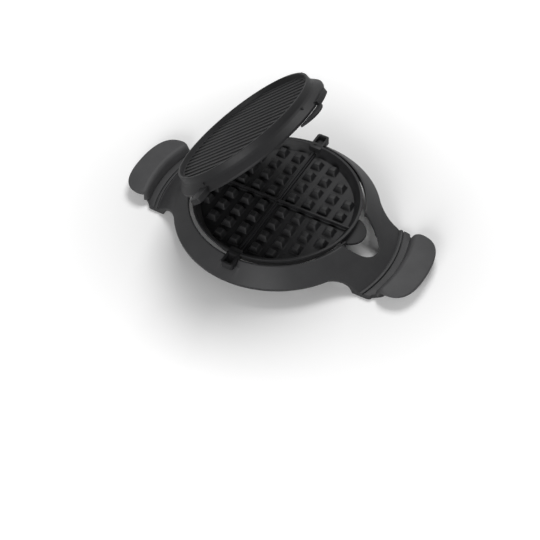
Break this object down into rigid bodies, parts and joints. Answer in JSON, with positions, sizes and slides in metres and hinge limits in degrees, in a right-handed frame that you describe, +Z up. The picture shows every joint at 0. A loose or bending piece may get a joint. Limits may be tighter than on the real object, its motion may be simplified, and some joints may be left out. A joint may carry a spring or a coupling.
{
  "type": "waffle and sandwich iron",
  "caption": "Reversible waffle and sandwich iron for a round grate: hinged round plates, studded inside and ridged outside, resting by side lugs in a carrier ring with low end grips.",
  "frame": {"origin": "on the surface it stands on, under the middle of the ring", "axes": "+X towards the handle on the lift-tab side, -X towards the hinge-side handle, +Z up"},
  "size_m": [0.442, 0.2796, 0.227],
  "materials": {
    "carrier": "matt dark grey enamel over a fine cast skin",
    "plates": "matt dark grey enamel, slightly smoother on the cooking faces",
    "grips": "matt dark grey heat-resistant moulding",
    "fixings": "plain steel",
    "hinge_steel": "plain steel"
  },
  "bodies": {
    "carrier": {"carrier_ring": "carrier", "right_grip": "grips", "left_grip": "grips", "right_grip_screw_1": "fixings", "right_grip_screw_2": "fixings", "left_grip_screw_1": "fixings", "left_grip_screw_2": "fixings", "right_grip_washer_1": "fixings", "right_grip_washer_2": "fixings", "left_grip_washer_1": "fixings", "left_grip_washer_2": "fixings"},
    "plates": {"lower_plate": "plates", "hinge_pin": "hinge_steel", "hinge_clip": "hinge_steel", "hinge_washer_head": "hinge_steel", "hinge_washer_clip": "hinge_steel"},
    "lid": {"upper_plate": "plates"}
  },
  "joints": [
    {"name": "plates_lift", "type": "slide", "parent": "carrier", "child": "plates", "axis": [0, 0, 1], "range_m": [0, 0.06]},
    {"name": "lid_hinge", "type": "hinge", "parent": "plates", "child": "lid", "pos_m": [-0.1315, 0, 0.0492], "axis": [0, -1, 0], "range_deg": [-42.6, 49]}
  ]
}
